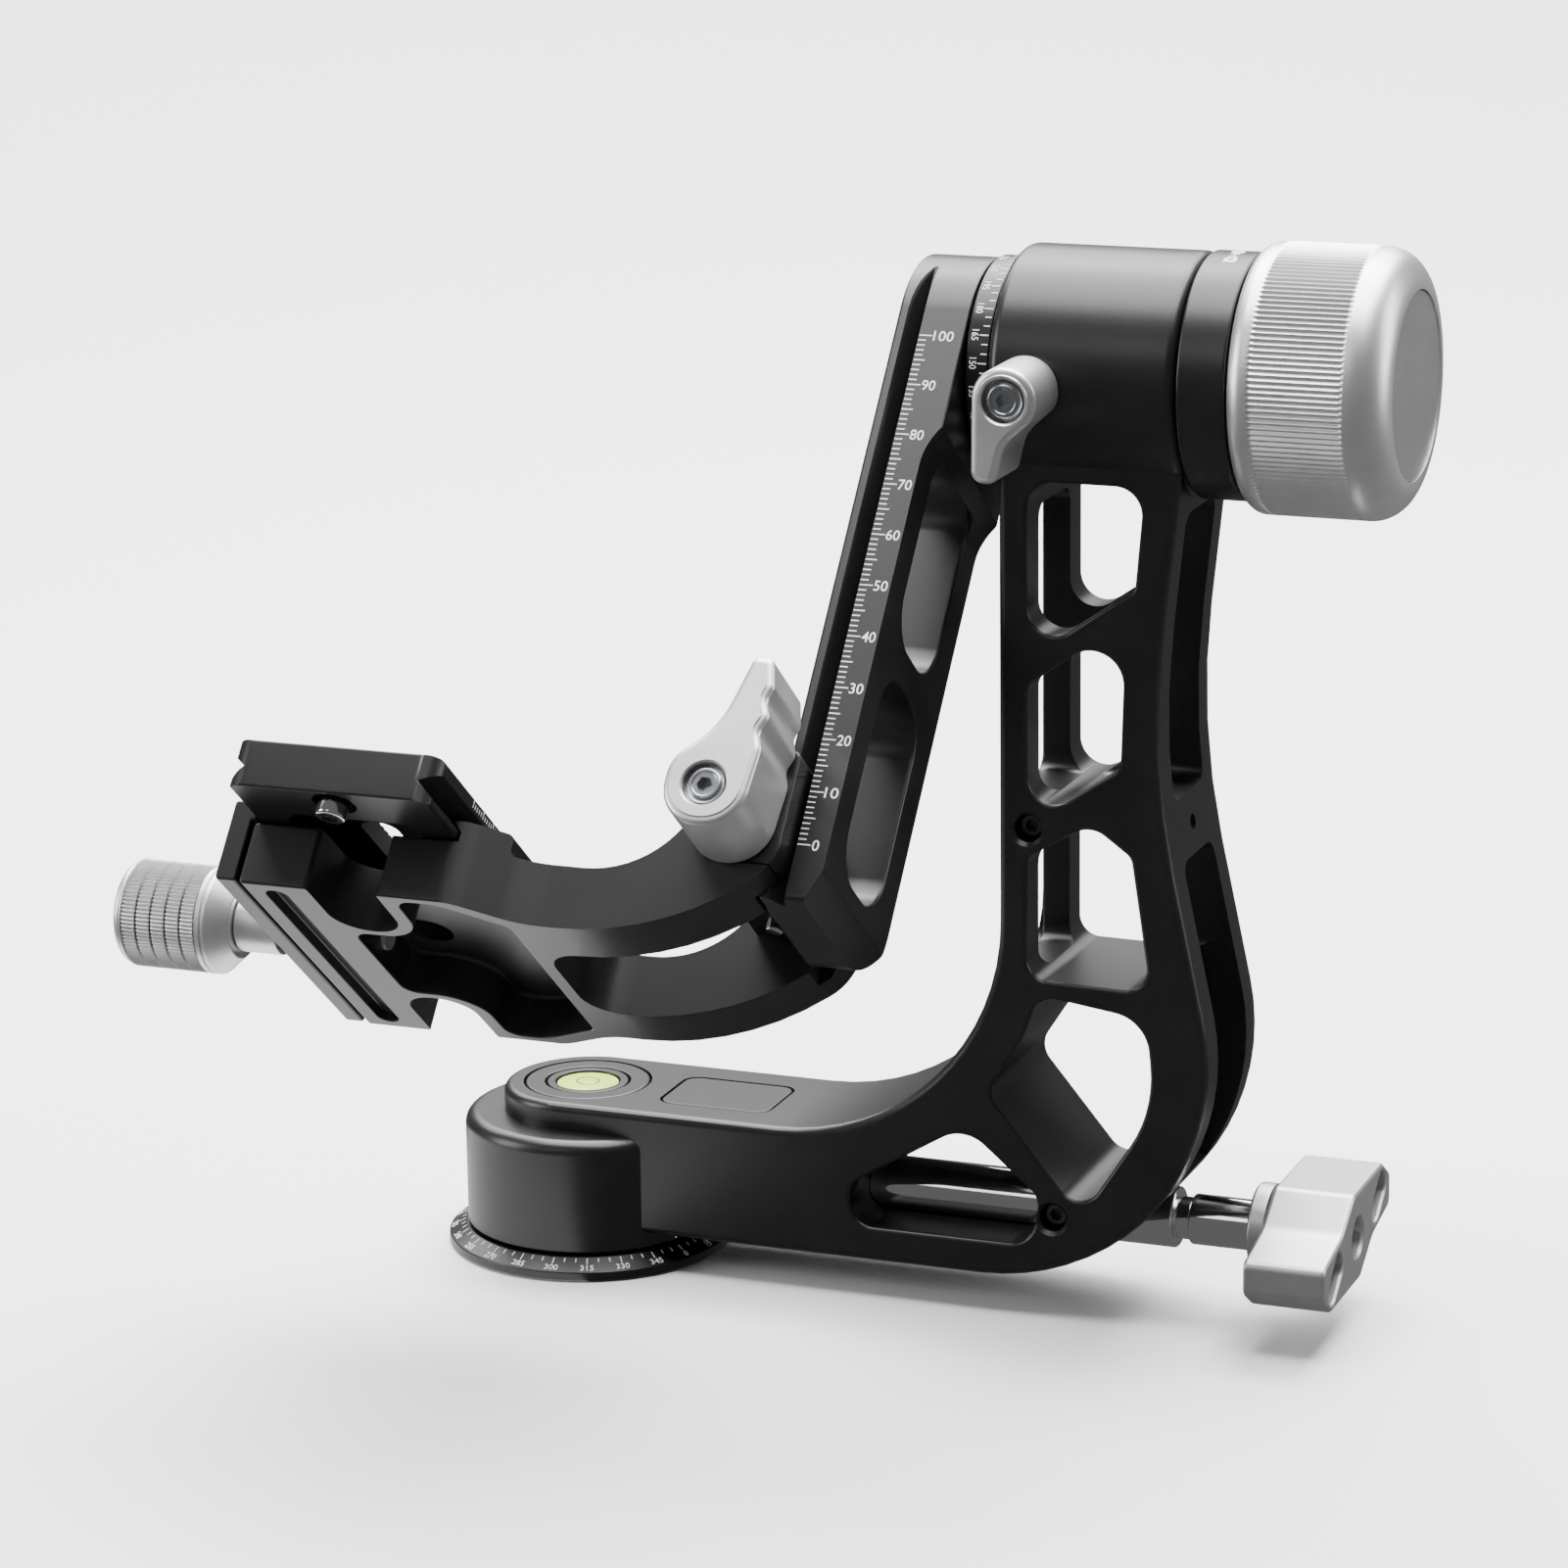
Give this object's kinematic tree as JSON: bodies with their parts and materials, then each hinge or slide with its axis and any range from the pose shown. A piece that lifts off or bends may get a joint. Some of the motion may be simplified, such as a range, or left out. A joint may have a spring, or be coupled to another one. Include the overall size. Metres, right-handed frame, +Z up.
{
  "type": "gimbal head",
  "caption": "Gimbal tripod head: panning base, L-shaped truss arm, tilting dovetail rail and a sliding cradle with a quick release plate clamp.",
  "frame": {"origin": "centre of the base disc's underside, on the pan axis", "axes": "+Z up along the pan axis, +X along the tilt axis towards the big tilt knob, -Y is the front that the picture shows"},
  "size_m": [0.217, 0.1376, 0.2006],
  "materials": {
    "black_anodised": "satin",
    "silver_anodised": "satin",
    "chrome": "polished",
    "steel": "satin",
    "brass": "satin",
    "lining": "matte",
    "level_fluid": "gloss",
    "rubber": "matte"
  },
  "bodies": {
    "base": {"base_disc": "black_anodised", "tripod_insert": "steel", "pan_spindle": "steel", "pan_brake_sleeve": "steel", "pan_inner_ring": "steel", "pan_ball_cage": "steel", "pan_lock_nut": "steel"},
    "arm": {"arm_frame": "black_anodised", "pan_outer_ring": "steel", "pan_plain_bush": "brass", "pan_cap": "black_anodised", "level_cup": "silver_anodised", "level_vial": "level_fluid", "blank_plate": "black_anodised", "pan_lock_bush": "brass", "arm_set_screw_upper": "steel", "arm_set_screw_lower": "steel", "hub_collar": "black_anodised", "tilt_outer_ring": "steel", "tilt_plain_bush": "brass", "tilt_bearing_retainer": "steel", "tilt_friction_disc": "lining", "tilt_lock_bush": "brass"},
    "pan_lock": {"pan_lock_shaft": "chrome", "pan_lock_ring": "silver_anodised", "pan_lock_knob": "silver_anodised"},
    "pan_brake": {"pan_brake_shoe": "brass"},
    "tilt_lock": {"tilt_lock_lever": "silver_anodised", "tilt_lock_screw": "steel", "tilt_lock_stud": "steel"},
    "tilt_brake": {"tilt_brake_pad": "brass"},
    "swing": {"swing_rail": "black_anodised", "degree_ring": "black_anodised", "tilt_spindle": "steel", "tilt_inner_ring": "steel", "tilt_ball_cage": "steel", "tilt_spacer": "steel", "tilt_pressure_plate": "steel", "tilt_spring_washer": "steel", "boss_screw": "steel", "tilt_end_screw": "steel"},
    "drag_knob": {"tilt_knob": "silver_anodised", "tilt_knob_cap": "silver_anodised", "tilt_knob_insert": "brass"},
    "cradle": {"cradle_bracket": "black_anodised", "jaw_guide_pin_front": "steel", "jaw_guide_pin_rear": "steel"},
    "rail_clamp": {"rail_jaw": "black_anodised", "rail_draw_bolt": "steel"},
    "rail_lever": {"rail_clamp_lever": "silver_anodised", "rail_lever_screw": "steel"},
    "plate_clamp": {"plate_jaw": "black_anodised"},
    "clamp_screw": {"clamp_knob": "silver_anodised", "clamp_stud": "silver_anodised"},
    "plate": {"release_plate": "black_anodised", "plate_pad": "rubber", "plate_stop_screw_front": "steel", "plate_stop_screw_rear": "steel"},
    "camera_bolt": {"camera_screw": "steel"}
  },
  "joints": [
    {"name": "pan_turn", "type": "hinge", "parent": "base", "child": "arm", "pos_m": [0, 0, 0], "axis": [0, 0, 1], "continuous": true},
    {"name": "pan_lock_turn", "type": "hinge", "parent": "arm", "child": "pan_lock", "pos_m": [0.08, 0, 0.017], "axis": [1, 0, 0], "range_deg": [0, 360]},
    {"name": "pan_brake_slide", "type": "slide", "parent": "arm", "child": "pan_brake", "axis": [1, 0, 0], "range_m": [0, 0.001]},
    {"name": "tilt_turn", "type": "hinge", "parent": "arm", "child": "swing", "pos_m": [0.078, 0, 0.1763], "axis": [1, 0, 0], "continuous": true},
    {"name": "tilt_lock_turn", "type": "hinge", "parent": "arm", "child": "tilt_lock", "pos_m": [0.0972, 0, 0.1763], "axis": [0, -1, 0], "range_deg": [-25, 60]},
    {"name": "tilt_brake_slide", "type": "slide", "parent": "arm", "child": "tilt_brake", "axis": [0, -1, 0], "range_m": [-0.0001, 0.0002]},
    {"name": "drag_knob_turn", "type": "hinge", "parent": "swing", "child": "drag_knob", "pos_m": [0.145, 0, 0.1763], "axis": [1, 0, 0], "range_deg": [0, 540]},
    {"name": "cradle_slide", "type": "slide", "parent": "swing", "child": "cradle", "axis": [0, 0.632, 0.7749], "range_m": [-0.008, 0.08]},
    {"name": "rail_clamp_slide", "type": "slide", "parent": "cradle", "child": "rail_clamp", "axis": [0, -0.7749, 0.632], "range_m": [0, 0.001]},
    {"name": "rail_lever_turn", "type": "hinge", "parent": "rail_clamp", "child": "rail_lever", "pos_m": [0.0657, -0.06674, 0.09447], "axis": [0, -0.7749, 0.632], "range_deg": [0, 100]},
    {"name": "plate_clamp_slide", "type": "slide", "parent": "cradle", "child": "plate_clamp", "axis": [-1, 0, 0], "range_m": [0, 0.003]},
    {"name": "clamp_screw_turn", "type": "hinge", "parent": "plate_clamp", "child": "clamp_screw", "pos_m": [-0.045, -0.07742, 0.08137], "axis": [-1, 0, 0], "range_deg": [0, 1080]},
    {"name": "plate_slide", "type": "slide", "parent": "cradle", "child": "plate", "axis": [0, 0.7749, -0.632], "range_m": [-0.02, 0.02]},
    {"name": "camera_bolt_turn", "type": "hinge", "parent": "plate", "child": "camera_bolt", "pos_m": [0, -0.06952, 0.09106], "axis": [0, 0.632, 0.7749], "continuous": true}
  ],
  "couplings": [
    {"joint": "pan_brake_slide", "follows": "pan_lock_turn", "m_per_rad": 0.000159},
    {"joint": "tilt_brake_slide", "follows": "tilt_lock_turn", "m_per_rad": 0.000159},
    {"joint": "rail_lever_turn", "follows": "rail_clamp_slide", "rad_per_m": 1745.3},
    {"joint": "clamp_screw_turn", "follows": "plate_clamp_slide", "rad_per_m": 6283.2}
  ]
}
